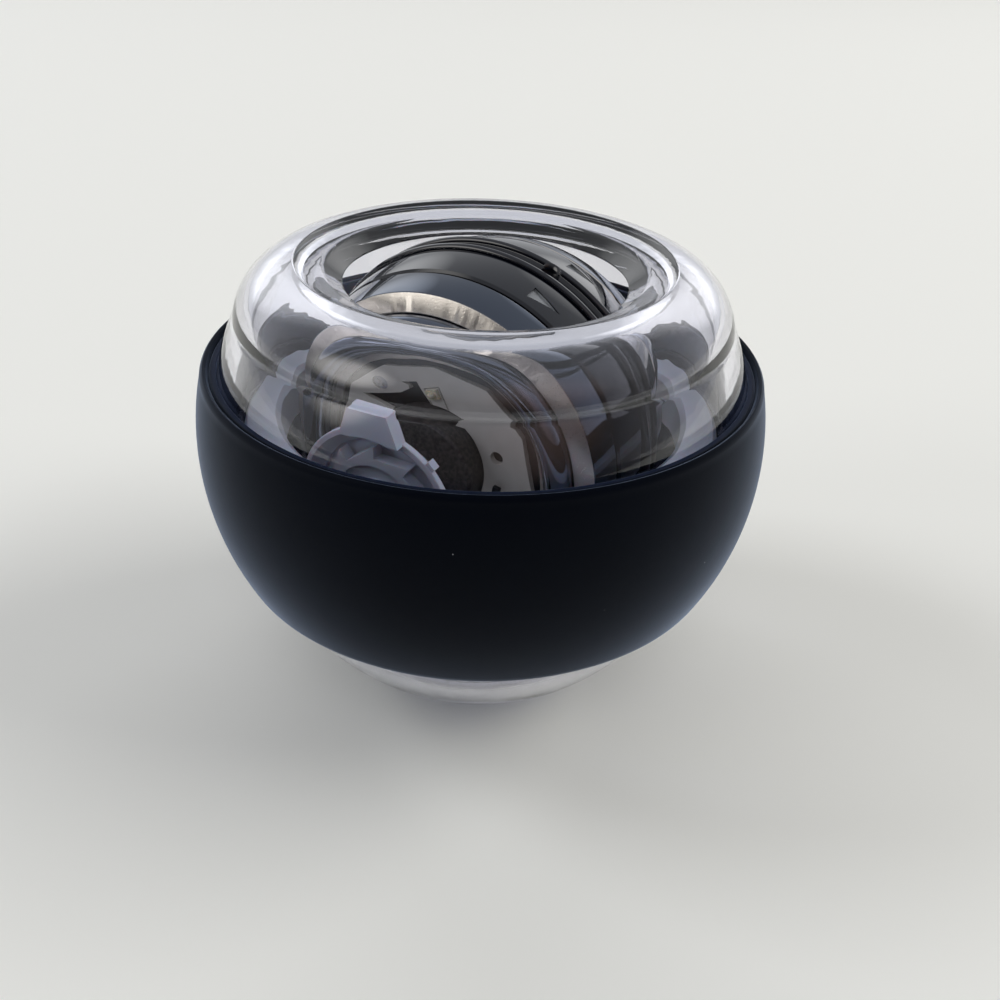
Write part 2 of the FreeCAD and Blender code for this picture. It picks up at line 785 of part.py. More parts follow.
def drum(side):
    bead_start = drum_line_place - drum_line_width
    line_floor = drum_radius - drum_line_depth
    edge_place = drum_half_width - drum_edge
    middle_place = (edge_place + drum_line_place) / 2
    face_middle = at(middle_place, drum_surface(middle_place))
    face = section(
        at(drum_joint, weight_body_radius + slide_gap),
        (at(drum_half_width, weight_body_radius + slide_gap),),
        (at(drum_half_width, drum_surface(drum_half_width) - drum_edge),),
        (at(edge_place, drum_surface(edge_place)),),
        (face_middle, at(drum_line_place, drum_surface(drum_line_place))),
        (at(drum_line_place, line_floor),),
        (at(bead_start, line_floor),),
        (at(bead_start, bead_end_radius),),
        (at(bead_crest_place, bead_crest_radius), at(bead_end_place, bead_end_radius)),
        (at(groove_half_width, groove_radius),),
        (at(drum_joint, groove_radius),),
    )
    solid = turned(face, X_AXIS)
    if side < 0:
        solid = mirrored(solid)
    hole = Part.makeCylinder(string_hole_radius, drum_radius + overrun)
    relief_start = Vector(0, 0, bead_crest_radius - string_relief_depth)
    relief = Part.makeCylinder(string_relief_radius, overrun, relief_start)
    cuts = [spun(hole, string_hole_angle), spun(relief, string_hole_angle)]
    for index in range(arrow_count):
        arrow = arrow_cut(side)
        cuts.append(spun(arrow, FULL_TURN * index / arrow_count))
    return solid.cut(cuts)


def circuit_board():
    points = []
    for index in range(board_sides):
        angle = board_corner_angle + FULL_TURN * index / board_sides
        points.append(round_axle(core_half_width, board_corner_radius, angle))
    board = prism(points, board_thickness)
    cuts = [disc(board_bore_radius, 0, ring_sphere_radius)]
    hook = []
    for share, angle in zip(cutout_radius_shares, cutout_angles):
        hook.append(round_axle(core_half_width, board_corner_radius * share, angle))
    hook.append(round_axle(core_half_width, board_bore_radius / 2, cutout_angles[0] / 2))
    cuts.append(prism(hook, board_thickness))
    for angle in hole_angles:
        hole = Part.makeCylinder(hole_radius, overrun, Vector(core_half_width, 0, hole_place), X_AXIS)
        cuts.append(spun(hole, angle))
    cuts += around_leds(tongue_cut())
    cuts += around_screws(screw_hole(core_half_width + board_thickness - screw_sink))
    return board.cut(cuts)


def around_leds(shape):
    """Copies of a shape at each LED."""
    return [spun(shape, led_angle + FULL_TURN * index / led_count) for index in range(led_count)]


def tongue_cut():
    """A fine U-shaped groove in the board's face, tilted, with the LED in its closed end."""
    floor = core_half_width + board_thickness - tongue_depth
    top = led_place + tongue_reach
    boxes = []
    for inset in (0, tongue_groove):
        width = tongue_width + tongue_groove - 2 * inset
        corner = Vector(floor, -width / 2, top - inset - tongue_length)
        boxes.append(Part.makeBox(overrun, width, tongue_length, corner))
    groove = boxes[0].cut(boxes[1])
    groove.rotate(Vector(0, 0, led_place), X_AXIS, tongue_tilt)
    return groove


def around_screws(shape):
    """Copies of a shape at each screw of one end."""
    return [spun(shape, screw_angle + FULL_TURN * index / screw_count) for index in range(screw_count)]


def screw_shank(top):
    start = Vector(top - screw_length, 0, screw_place)
    return Part.makeCylinder(screw_shank_radius, screw_length, start, X_AXIS)


def screw(top):
    seat = Vector(top - screw_head_height, 0, screw_place)
    head = Part.makeCylinder(screw_head_radius, screw_head_height, seat, X_AXIS)
    slots = []
    for across, up in ((2 * screw_head_radius, screw_slot_width), (screw_slot_width, 2 * screw_head_radius)):
        corner = Vector(top - screw_slot_depth, -across / 2, screw_place - up / 2)
        slots.append(Part.makeBox(overrun, across, up, corner))
    slots = slots[0].fuse(slots[1])
    inside = Part.makeCylinder(screw_head_radius - screw_slot_width, screw_head_height, seat, X_AXIS)
    shank = screw_shank(top - screw_head_height)
    return head.cut(slots.common(inside)).fuse(shank)


def screw_hole(top):
    """Room for the shank, and a flush seat for the head."""
    seat = Vector(top - screw_head_height, 0, screw_place)
    room = Part.makeCylinder(screw_head_radius + slide_gap, overrun, seat, X_AXIS)
    return room.fuse(screw_shank(top - screw_head_height))


def screws(top):
    return Part.makeCompound(around_screws(screw(top)))


def on_board(length, width, height, place, angle):
    """A block on the board's near face, at a place beside the axle."""
    top = core_half_width + board_thickness
    block = Part.makeBox(height, length, width, Vector(top, -length / 2, place - width / 2))
    return spun(block, angle)


def board_leds():
    top = core_half_width + board_thickness
    corner = Vector(top, -led_size / 2, led_place - led_size / 2)
    body = Part.makeBox(led_height, led_size, led_size, corner)
    body.rotate(Vector(0, 0, led_place), X_AXIS, tongue_tilt)
    lens = Part.makeSphere(led_lens_radius, Vector(top + led_height, 0, led_place))
    return Part.makeCompound(around_leds(body.fuse(lens)))


def board_chip():
    return on_board(chip_length, chip_width, chip_height, led_place, chip_angle)


def board_capacitor():
    start = Vector(core_half_width + board_thickness, 0, led_place)
    can = Part.makeCylinder(capacitor_radius, capacitor_height, start, X_AXIS)
    return spun(can, capacitor_angle)


def board_resistors():
    pieces = []
    for angle in resistor_angles:
        pieces.append(on_board(resistor_length, resistor_width, resistor_height, led_place, angle))
    return Part.makeCompound(pieces)


def far_cover():
    plate = disc(core_radius, core_half_width, cover_thickness)
    rib = disc(cover_rib_radius, core_half_width + cover_thickness, cover_rib_height,
               cover_rib_radius - cover_rib_width)
    cover = plate.fuse(rib).cut(disc(axle_radius + fit_gap, 0, ring_sphere_radius))
    return mirrored(cover.cut(around_screws(screw_hole(core_half_width + cover_thickness - screw_sink))))


def ring_magnets():
    start = Vector(boss_floor_place + boss_floor, 0, magnet_place)
    magnet = Part.makeCylinder(magnet_radius, magnet_thickness, start, X_AXIS)
    turns = [FULL_TURN * index / magnet_count for index in range(magnet_count)]
    return mirrored(Part.makeCompound([spun(magnet, angle) for angle in turns]))


def magnet_cover():
    radius = boss_bore - fit_gap
    start = boss_floor_place + boss_floor + magnet_thickness
    bore = bush_radius(arbor_bore()) + fit_gap
    return mirrored(disc(radius, start, magnet_cover_thickness, bore))


def placed(shape, along_axle):
    """Lift a piece to its height over the resting face. Rotor pieces also turn to the heading."""
    moved = shape.copy()
    if along_axle:
        moved.rotate(CENTRE, Z_AXIS, -(FULL_TURN / 4 + axle_heading))
    moved.translate(Z_AXIS * centre_height)
    return moved


def main():
    upright = {
        "upper_shell": upper_shell(),
        "lower_shell": lower_shell(),
        "foot_disc": foot_disc(),
        "grip_band": grip_band(),
    }
    board_top = core_half_width + board_thickness
    cover_top = core_half_width + cover_thickness
    along_axle = {
        "track_ring": track_ring(),
        "arbor_bush": arbor_bush(),
        "axle_bush": axle_bush(),
        "pawl_pin": pawl_pin(),
        "ratchet_pawl": ratchet_pawl(),
        "ring_magnets": ring_magnets(),
        "magnet_cover": magnet_cover(),
        "axle": axle(),
        "rotor_core": rotor_core(),
        "drum_near": drum(1),
        "drum_far": drum(-1),
        "weight_ring_near": weight_ring(),
        "weight_ring_far": mirrored(weight_ring()),
        "trim_ring_near": trim_ring(),
        "trim_ring_far": mirrored(trim_ring()),
        "circuit_board": circuit_board(),
        "board_screws": screws(board_top - screw_sink),
        "board_leds": board_leds(),
        "board_chip": board_chip(),
        "board_capacitor": board_capacitor(),
        "board_resistors": board_resistors(),
        "spring_barrel": spring_barrel(),
        "barrel_lid": barrel_lid_piece(),
        "mainspring": mainspring(),
        "coil_bobbin": coil_bobbin(),
        "generator_coil": generator_coil(),
        "far_cover": far_cover(),
        "cover_screws": mirrored(screws(cover_top - screw_sink)),
        "ratchet_wheel": ratchet_wheel(),
        "spring_arbor": spring_arbor(),
    }
    os.makedirs("parts", exist_ok=True)
    for pieces, turn in ((upright, False), (along_axle, True)):
        for name, shape in pieces.items():
            solid = placed(shape, turn)
            solid.exportStep("parts/" + name + ".step")
            print(name, len(solid.Solids), "solids", round(solid.Volume, 1), "mm3", solid.isValid())


main()
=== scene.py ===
import json
import math

import bmesh
import bpy
from mathutils import Matrix, Vector


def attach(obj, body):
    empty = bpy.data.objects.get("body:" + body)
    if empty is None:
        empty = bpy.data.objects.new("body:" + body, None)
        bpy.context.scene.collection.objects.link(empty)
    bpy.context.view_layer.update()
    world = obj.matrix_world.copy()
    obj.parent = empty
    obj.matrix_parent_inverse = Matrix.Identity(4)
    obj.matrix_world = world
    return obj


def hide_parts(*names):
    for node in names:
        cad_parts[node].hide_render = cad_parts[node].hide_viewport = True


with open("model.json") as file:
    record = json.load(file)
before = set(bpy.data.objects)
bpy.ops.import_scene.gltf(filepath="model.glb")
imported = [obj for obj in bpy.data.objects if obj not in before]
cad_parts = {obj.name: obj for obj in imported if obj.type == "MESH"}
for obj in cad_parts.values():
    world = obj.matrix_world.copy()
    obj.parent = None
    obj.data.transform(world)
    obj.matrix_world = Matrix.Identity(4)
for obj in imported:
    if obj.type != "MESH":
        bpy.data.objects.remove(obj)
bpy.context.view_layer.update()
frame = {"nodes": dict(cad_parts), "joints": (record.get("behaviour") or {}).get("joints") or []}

mm = 0.001
scene = bpy.context.scene
nodes = frame["nodes"]

# The ball's centre and the axle come from the rotor's joint
rotorJoint = next(joint for joint in frame["joints"] if joint["name"] == "rotor_spin")
ballCentre = Vector(rotorJoint["pos_m"])
up = Vector((0, 0, 1))
axleWay = Vector(rotorJoint["axis"]).normalized()      # from the centre to the near end
axleRight = up.cross(axleWay).normalized()             # level, to the right as the camera sees it


def placeOf(side, top, along):
    matrix = Matrix((side, top, along)).transposed().to_4x4()
    matrix.translation = ballCentre
    return matrix


# Local Z is the axis that a piece turns round, local Y is where angles start
uprightPlace = placeOf(Vector((1, 0, 0)), Vector((0, 1, 0)), up)
axlePlace = placeOf(axleRight, up, axleWay)
print("frame loaded")


# Sections, in millimetres: pairs of radius and place on the axis
def arc(middle, start, end, steps):
    radius = math.dist(middle, start)
    first = math.atan2(start[1] - middle[1], start[0] - middle[0])
    last = math.atan2(end[1] - middle[1], end[0] - middle[0])
    if last - first > math.pi:
        last -= 2 * math.pi
    if first - last > math.pi:
        last += 2 * math.pi
    turns = [first + (last - first) * k / steps for k in range(steps + 1)]
    return [(middle[0] + radius * math.cos(t), middle[1] + radius * math.sin(t)) for t in turns]


# An arc that leaves its chord by rise, on the side away from the axis.
def bow(start, end, rise, steps):
    chord = Vector(end) - Vector(start)
    outward = Vector((chord.y, -chord.x)).normalized()
    if outward.x < 0:
        outward = -outward
    radius = (chord.length ** 2 / 4 + rise ** 2) / (2 * rise)
    crest = (Vector(start) + Vector(end)) / 2 + outward * rise
    middle = crest - outward * radius
    half = steps // 2
    return arc(tuple(middle), start, tuple(crest), half) + arc(tuple(middle), tuple(crest), end, half)[1:]


def onSphere(radius, height):
    return (math.sqrt(radius ** 2 - height ** 2), height)


# A section for the near end, 1, or the far end, -1.
def mirrored(profile, side):
    return [(radius, side * place) for radius, place in profile]


# Meshes
def meshObject(name, bm, place, sharpAngle=35):
    bmesh.ops.recalc_face_normals(bm, faces=bm.faces)
    mesh = bpy.data.meshes.new(name)
    bm.to_mesh(mesh)
    bm.free()
    mesh.transform(place)
    mesh.shade_smooth()
    mesh.set_sharp_from_angle(angle=math.radians(sharpAngle))
    piece = bpy.data.objects.new(name, mesh)
    scene.collection.objects.link(piece)
    return piece


# Turns a closed section round the local Z axis.
def lathe(name, profile, place, turns=256):
    bm = bmesh.new()
    rings = []
    for radius, height in profile:
        if radius < 1e-6:
            rings.append([bm.verts.new((0, 0, height * mm))] * turns)
            continue
        ring = []
        for k in range(turns):
            angle = 2 * math.pi * k / turns
            corner = (radius * mm * math.sin(angle), radius * mm * math.cos(angle), height * mm)
            ring.append(bm.verts.new(corner))
        rings.append(ring)
    for here, there in zip(rings, rings[1:] + rings[:1]):
        for k in range(turns):
            after = (k + 1) % turns
            corners = list(dict.fromkeys((here[k], here[after], there[after], there[k])))
            if len(corners) > 2:
                bm.faces.new(corners)
    return meshObject(name, bm, place)


def soften(piece, width, segments=3, angle=30):
    bevel = piece.modifiers.new("edge round", "BEVEL")
    bevel.width = width * mm
    bevel.segments = segments
    bevel.limit_method = "ANGLE"
    bevel.angle_limit = math.radians(angle)
    bevel.harden_normals = True
    return piece


# A point in the axle's frame. Angles run from the top towards the right.
def polar(radius, angle, along):
    turn = math.radians(angle)
    return Vector((radius * math.sin(turn), radius * math.cos(turn), along)) * mm


def put(piece, material, body, slot, *replaced):
    piece.data.materials.clear()
    piece.data.materials.append(material)
    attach(piece, body)
    if replaced:
        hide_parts(*replaced)
    return piece


# Materials
# An sRGB hex value as the linear colour that a shader wants.
def hexLinear(code):
    parts = [int(code[k:k + 2], 16) / 255 for k in (1, 3, 5)]
    return tuple(c / 12.92 if c <= 0.04045 else ((c + 0.055) / 1.055) ** 2.4 for c in parts) + (1.0,)


# Adds a node with its inputs, each a value or a link, and its settings. Gives back one of its outputs.
def addNode(tree, kind, inputs, out=0, **settings):
    node = tree.nodes.new("ShaderNode" + kind)
    for name, value in settings.items():
        setattr(node, name, value)
    for key, value in inputs.items():
        if isinstance(value, bpy.types.NodeSocket):
            tree.links.new(value, node.inputs[key])
        else:
            node.inputs[key].default_value = value
    return node.outputs[out] if node.outputs else None


def newMaterial(name, colour, roughness, **sockets):
    material = bpy.data.materials.new(name)
    material.use_nodes = True
    tree = material.node_tree
    tree.nodes.clear()
    surface = addNode(tree, "BsdfPrincipled", {"Base Color": hexLinear(colour), "Roughness": roughness})
    addNode(tree, "OutputMaterial", {"Surface": surface})
    for key, value in sockets.items():
        surface.node.inputs[key.replace("_", " ")].default_value = value
    where = addNode(tree, "TexCoord", {}, "Object")
    return material, tree, surface.node, where


# Links patterns to the shader's sockets.
def feed(shader, **patterns):
    for key, pattern in patterns.items():
        shader.id_data.links.new(pattern, shader.inputs[key.replace("_", " ")])


# A texture's scale for a pattern of this size in millimetres.
def perMetre(size):
    return 1 / (size * mm)


# Radius from the axle and place along it, in millimetres, for patterns that follow the rotor.
def alongAxle(tree, where):
    fromCentre = addNode(tree, "VectorMath", {0: where, 1: ballCentre}, operation="SUBTRACT")
    place = addNode(tree, "VectorMath", {0: fromCentre, 1: axleWay / mm}, "Value", operation="DOT_PRODUCT")
    metres = addNode(tree, "VectorMath", {0: fromCentre}, "Value", operation="LENGTH")
    reach = addNode(tree, "Math", {0: metres, 1: 1 / mm}, operation="MULTIPLY")
    reachSquared = addNode(tree, "Math", {0: reach, 1: 2.0}, operation="POWER")
    placeSquared = addNode(tree, "Math", {0: place, 1: place}, operation="MULTIPLY")
    rest = addNode(tree, "Math", {0: reachSquared, 1: placeSquared}, operation="SUBTRACT")
    return addNode(tree, "Math", {0: rest}, operation="SQRT"), place


# Polycarbonate, injection moulded and polished: clear, with a faint lilac cast and upright flow lines.
def clearPolycarbonate():
    look = {"colour": "#F5F5FC", "flow": 2.6, "flowDepth": 0.016, "flowStretch": 0.18, "scuff": 0.35,
            "pass": "#EEEFF5"}
    material, tree, shader, where = newMaterial("polycarbonate moulded clear", look["colour"], 0.0,
                                                IOR=1.585, Transmission_Weight=1.0)
    stretch = (1, 1, look["flowStretch"])
    upright = addNode(tree, "VectorMath", {0: where, 1: stretch}, operation="MULTIPLY")
    flow = addNode(tree, "TexNoise", {"Vector": upright, "Scale": perMetre(look["flow"]), "Detail": 1.0})
    waves = addNode(tree, "Bump", {"Height": flow, "Distance": look["flowDepth"] * mm})
    scuffs = addNode(tree, "TexNoise", {"Vector": where, "Scale": perMetre(look["scuff"]), "Detail": 4.0})
    haze = addNode(tree, "MapRange", {"Value": scuffs, "From Min": 0.55, "From Max": 0.8, "To Max": 0.05})
    feed(shader, Normal=waves, Roughness=haze)
    # lamps and soft light reach what is inside the ball
    shadowRay = addNode(tree, "LightPath", {}, "Is Shadow Ray")
    diffuseRay = shadowRay.node.outputs["Is Diffuse Ray"]
    lit = addNode(tree, "Math", {0: shadowRay, 1: diffuseRay}, operation="MAXIMUM")
    passing = addNode(tree, "BsdfTransparent", {"Color": hexLinear(look["pass"])})
    both = addNode(tree, "MixShader", {0: lit, 1: shader.outputs[0], 2: passing})
    output = next(node for node in tree.nodes if node.type == "OUTPUT_MATERIAL")
    tree.links.new(both, output.inputs["Surface"])
    return material


# Silicone rubber, compression moulded with a fine matt finish: deep navy that greys towards the edge, with a
# few specks of dust. The matt grain is drawn coarser than the real one, so that it shows.
def siliconeRubber():
    look = {"colour": "#010309", "mottle": "#02050E", "mottleSize": 6.0, "inside": "#060E22", "seat": 33.9,
            "seatEdge": 0.3, "matt": 0.25, "mattDepth": 0.006, "wipe": 2.5, "speck": 3.2, "dust": "#8D9096",
            "dustPatch": 7.0, "bloom": "#AFC0DE"}
    material, tree, shader, where = newMaterial("silicone rubber moulded matt", look["colour"], 0.5,
                                                IOR=1.41, Specular_IOR_Level=0.06, Sheen_Weight=0.75,
                                                Sheen_Roughness=0.32, Sheen_Tint=hexLinear(look["bloom"]))
    cloud = addNode(tree, "TexNoise", {"Vector": where, "Scale": perMetre(look["mottleSize"]), "Detail": 3.0})
    mottled = addNode(tree, "Mix", {0: cloud, 6: hexLinear(look["colour"]), 7: hexLinear(look["mottle"])},
                      2, data_type="RGBA")
    spots = addNode(tree, "TexVoronoi", {"Vector": where, "Scale": perMetre(look["speck"])}, "Distance")
    specks = addNode(tree, "MapRange", {"Value": spots, "From Min": 0.015, "From Max": 0.03, "To Min": 1.0,
                                        "To Max": 0.0})
    patch = addNode(tree, "TexNoise", {"Vector": where, "Scale": perMetre(look["dustPatch"]), "Detail": 2.0})
    few = addNode(tree, "MapRange", {"Value": patch, "From Min": 0.52, "From Max": 0.56})
    dusty = addNode(tree, "Math", {0: specks, 1: few}, operation="MULTIPLY")
    dusted = addNode(tree, "Mix", {0: dusty, 6: mottled, 7: hexLinear(look["dust"])}, 2, data_type="RGBA")
    # the face that lies against the clear shell is painted a lighter blue than the outer face: painted light,
    # for the lamp light that reaches it through the shell
    reach = addNode(tree, "VectorMath", {0: where, 1: ballCentre}, "Value", operation="DISTANCE")
    seatEnd = (look["seat"] + look["seatEdge"]) * mm
    litSeatPainted = addNode(tree, "MapRange", {"Value": reach, "From Min": look["seat"] * mm, "From Max": seatEnd,
                                        "To Min": 1.0, "To Max": 0.0})
    colour = addNode(tree, "Mix", {0: litSeatPainted, 6: dusted, 7: hexLinear(look["inside"])}, 2, data_type="RGBA")
    wipe = addNode(tree, "TexNoise", {"Vector": where, "Scale": perMetre(look["wipe"]), "Detail": 3.0})
    rough = addNode(tree, "MapRange", {"Value": wipe, "To Min": 0.46, "To Max": 0.56})
    matt = addNode(tree, "TexNoise", {"Vector": where, "Scale": perMetre(look["matt"]), "Detail": 3.0})
    skin = addNode(tree, "Bump", {"Height": matt, "Distance": look["mattDepth"] * mm})
    feed(shader, Base_Color=colour, Roughness=rough, Normal=skin)
    return material


# Natural nylon, injection moulded: milky, slightly translucent, with a soft satin skin.
def nylon():
    look = {"colour": "#CFD4DE", "cloud": "#C1C7D1", "cloudSize": 4.0, "satin": 0.8, "skin": 0.3,
            "skinDepth": 0.004}
    material, tree, shader, where = newMaterial("nylon moulded natural", look["colour"], 0.4, IOR=1.53,
                                                Subsurface_Weight=0.35, Subsurface_Scale=0.0012)
    cloud = addNode(tree, "TexNoise", {"Vector": where, "Scale": perMetre(look["cloudSize"]), "Detail": 3.0})
    colour = addNode(tree, "Mix", {0: cloud, 6: hexLinear(look["colour"]), 7: hexLinear(look["cloud"])},
                     2, data_type="RGBA")
    satin = addNode(tree, "TexNoise", {"Vector": where, "Scale": perMetre(look["satin"]), "Detail": 3.0})
    rough = addNode(tree, "MapRange", {"Value": satin, "To Min": 0.34, "To Max": 0.46})
    skin = addNode(tree, "TexNoise", {"Vector": where, "Scale": perMetre(look["skin"]), "Detail": 2.0})
    raised = addNode(tree, "Bump", {"Height": skin, "Distance": look["skinDepth"] * mm})
    feed(shader, Base_Color=colour, Roughness=rough, Normal=raised)
    return material


# ABS, injection moulded in a spark-eroded tool: black with a fine even grain.
def blackAbs():
    look = {"colour": "#121316", "cloudSize": 1.5, "spark": 0.18, "sparkDepth": 0.008}
    material, tree, shader, where = newMaterial("ABS moulded black grained", look["colour"], 0.5, IOR=1.52)
    cloud = addNode(tree, "TexNoise", {"Vector": where, "Scale": perMetre(look["cloudSize"]), "Detail": 3.0})
    rough = addNode(tree, "MapRange", {"Value": cloud, "To Min": 0.42, "To Max": 0.56})
    spark = addNode(tree, "TexNoise", {"Vector": where, "Scale": perMetre(look["spark"]), "Detail": 2.0})
    raised = addNode(tree, "Bump", {"Height": spark, "Distance": look["sparkDepth"] * mm})
    feed(shader, Roughness=rough, Normal=raised)
    return material


# Glass-filled nylon, moulded: dark brown-grey and granular, so it sparkles faintly. The grains are drawn
# coarser than the real fibres, so that they show.
def filledNylon():
    look = {"colour": "#4A4744", "dark": "#232225", "grain": 0.45, "grainDepth": 0.02}
    material, tree, shader, where = newMaterial("nylon glass filled moulded dark", look["colour"], 0.45,
                                                IOR=1.53)
    grit = addNode(tree, "TexNoise", {"Vector": where, "Scale": perMetre(look["grain"]), "Detail": 3.0})
    crisp = addNode(tree, "MapRange", {"Value": grit, "From Min": 0.35, "From Max": 0.65})
    colour = addNode(tree, "Mix", {0: crisp, 6: hexLinear(look["dark"]), 7: hexLinear(look["colour"])},
                     2, data_type="RGBA")
    rough = addNode(tree, "MapRange", {"Value": grit, "To Min": 0.36, "To Max": 0.56})
    raised = addNode(tree, "Bump", {"Height": grit, "Distance": look["grainDepth"] * mm})
    feed(shader, Base_Color=colour, Roughness=rough, Normal=raised)
    return material


# ABS, moulded against a polished tool: piano black, with hairline marks from handling and grey paint in the
# arrows.
def glossBlackAbs():
    look = {"colour": "#060914", "hairline": 0.25, "wave": 5.0, "waveDepth": 0.01, "paint": "#8B8E93",
            "paintRough": 0.5, "face": 22.6, "sweep": 29.3, "sunk": 0.18, "paintEdge": 0.02, "arrowPlace": 5.1,
            "arrowReach": 1.15}
    material, tree, shader, where = newMaterial("ABS moulded gloss black", look["colour"], 0.08, IOR=1.53,
                                                Coat_Weight=0.4, Coat_Roughness=0.03)
    radius, place = alongAxle(tree, where)
    lines = addNode(tree, "TexNoise", {"W": place, "Scale": 1 / look["hairline"], "Detail": 3.0},
                    noise_dimensions="1D")
    # the arrows are the only places here that lie under the crowned face
    squared = addNode(tree, "Math", {0: place, 1: place}, operation="MULTIPLY")
    level = addNode(tree, "Math", {0: squared, 1: 1 / (2 * look["sweep"]), 2: radius},
                    operation="MULTIPLY_ADD")
    floor = look["face"] - look["sunk"]
    under = addNode(tree, "MapRange", {"Value": level, "From Min": floor - look["paintEdge"],
                                       "From Max": floor + look["paintEdge"], "To Min": 1.0, "To Max": 0.0})
    reach = addNode(tree, "Math", {0: place}, operation="ABSOLUTE")
    aside = addNode(tree, "Math", {0: reach, 1: look["arrowPlace"]}, operation="SUBTRACT")
    away = addNode(tree, "Math", {0: aside}, operation="ABSOLUTE")
    beside = addNode(tree, "Math", {0: away, 1: look["arrowReach"]}, operation="LESS_THAN")
    arrow = addNode(tree, "Math", {0: under, 1: beside}, operation="MULTIPLY")
    colour = addNode(tree, "Mix", {0: arrow, 6: hexLinear(look["colour"]), 7: hexLinear(look["paint"])},
                     2, data_type="RGBA")
    gloss = addNode(tree, "MapRange", {"Value": lines, "From Min": 0.3, "From Max": 0.8, "To Min": 0.05,
                                       "To Max": 0.13})
    rough = addNode(tree, "Mix", {0: arrow, 2: gloss, 3: look["paintRough"]})
    wave = addNode(tree, "TexNoise", {"Vector": where, "Scale": perMetre(look["wave"]), "Detail": 1.0})
    raised = addNode(tree, "Bump", {"Height": wave, "Distance": look["waveDepth"] * mm})
    feed(shader, Base_Color=colour, Roughness=rough, Normal=raised)
    return material


# Zinc alloy, die cast and plated: a mirror band between a bright crest and a face blasted with grit. The
# mirror band is painted dark blue-grey, a painted reflection of the dark room in front of it; crest and
# blasted face keep the zinc's own colour, whose slight warm tint is in part a painted reflection of the warm
# room. The grit is drawn coarser than the real one, so that it shows.
def platedZinc():
    look = {"colour": "#D8D2CB", "dark": "#5A606B", "crestEnd": 7.95, "crestEdge": 0.05, "grit": 0.16,
            "gritDepth": 0.03, "blastStart": 11.62, "blastEdge": 0.03, "polish": 0.06, "blasted": 0.34,
            "blastedSpread": 0.08}
    material, tree, shader, where = newMaterial("zinc alloy plated and blasted", look["colour"], 0.1,
                                                Metallic=1.0)
    radius, place = alongAxle(tree, where)
    reach = addNode(tree, "Math", {0: place}, operation="ABSOLUTE")
    blast = addNode(tree, "MapRange", {"Value": reach, "From Min": look["blastStart"] - look["blastEdge"],
                                       "From Max": look["blastStart"] + look["blastEdge"]})
    crest = addNode(tree, "MapRange", {"Value": reach, "From Min": look["crestEnd"] - look["crestEdge"],
                                       "From Max": look["crestEnd"] + look["crestEdge"], "To Min": 1.0,
                                       "To Max": 0.0})
    # the mirror band, between crest and blasted face, gets the dark colour: a painted reflection of the dark
    # room in front
    bright = addNode(tree, "Math", {0: blast, 1: crest}, operation="MAXIMUM")
    colour = addNode(tree, "Mix", {0: bright, 6: hexLinear(look["dark"]), 7: hexLinear(look["colour"])},
                     2, data_type="RGBA")
    grit = addNode(tree, "TexNoise", {"Vector": where, "Scale": perMetre(look["grit"]), "Detail": 3.0})
    frost = addNode(tree, "MapRange", {"Value": grit, "From Min": 0.3, "From Max": 0.7,
                                       "To Min": look["blasted"] - look["blastedSpread"],
                                       "To Max": look["blasted"] + look["blastedSpread"]})
    rough = addNode(tree, "Mix", {0: blast, 2: look["polish"], 3: frost})
    pits = addNode(tree, "Math", {0: grit, 1: blast}, operation="MULTIPLY")
    raised = addNode(tree, "Bump", {"Height": pits, "Distance": look["gritDepth"] * mm})
    feed(shader, Base_Color=colour, Roughness=rough, Normal=raised)
    return material


# Brass ring with dark chrome plate over polish: a blue-black mirror.
def darkChrome():
    look = {"colour": "#6B717D", "cloudSize": 1.2, "wave": 4.0, "waveDepth": 0.006}
    material, tree, shader, where = newMaterial("dark chrome plate polished", look["colour"], 0.07,
                                                Metallic=1.0)
    cloud = addNode(tree, "TexNoise", {"Vector": where, "Scale": perMetre(look["cloudSize"]), "Detail": 4.0})
    rough = addNode(tree, "MapRange", {"Value": cloud, "From Min": 0.35, "From Max": 0.75, "To Min": 0.05,
                                       "To Max": 0.11})
    wave = addNode(tree, "TexNoise", {"Vector": where, "Scale": perMetre(look["wave"]), "Detail": 1.0})
    raised = addNode(tree, "Bump", {"Height": wave, "Distance": look["waveDepth"] * mm})
    feed(shader, Roughness=rough, Normal=raised)
    return material


# Glass-epoxy board with a pale solder mask: satin, with the weave just showing under it.
def solderMask():
    look = {"colour": "#D6D2C6", "shade": "#C8C3B6", "shadeSize": 1.4, "satin": 0.5, "weave": 0.45,
            "weaveDepth": 0.01}
    material, tree, shader, where = newMaterial("glass epoxy with pale solder mask", look["colour"], 0.38,
                                                IOR=1.55)
    cloud = addNode(tree, "TexNoise", {"Vector": where, "Scale": perMetre(look["shadeSize"]), "Detail": 4.0})
    colour = addNode(tree, "Mix", {0: cloud, 6: hexLinear(look["colour"]), 7: hexLinear(look["shade"])},
                     2, data_type="RGBA")
    satin = addNode(tree, "TexNoise", {"Vector": where, "Scale": perMetre(look["satin"]), "Detail": 2.0})
    rough = addNode(tree, "MapRange", {"Value": satin, "To Min": 0.3, "To Max": 0.46})
    weave = addNode(tree, "TexNoise", {"Vector": where, "Scale": perMetre(look["weave"]), "Detail": 1.0})
    raised = addNode(tree, "Bump", {"Height": weave, "Distance": look["weaveDepth"] * mm})
    feed(shader, Base_Color=colour, Roughness=rough, Normal=raised)
    return material


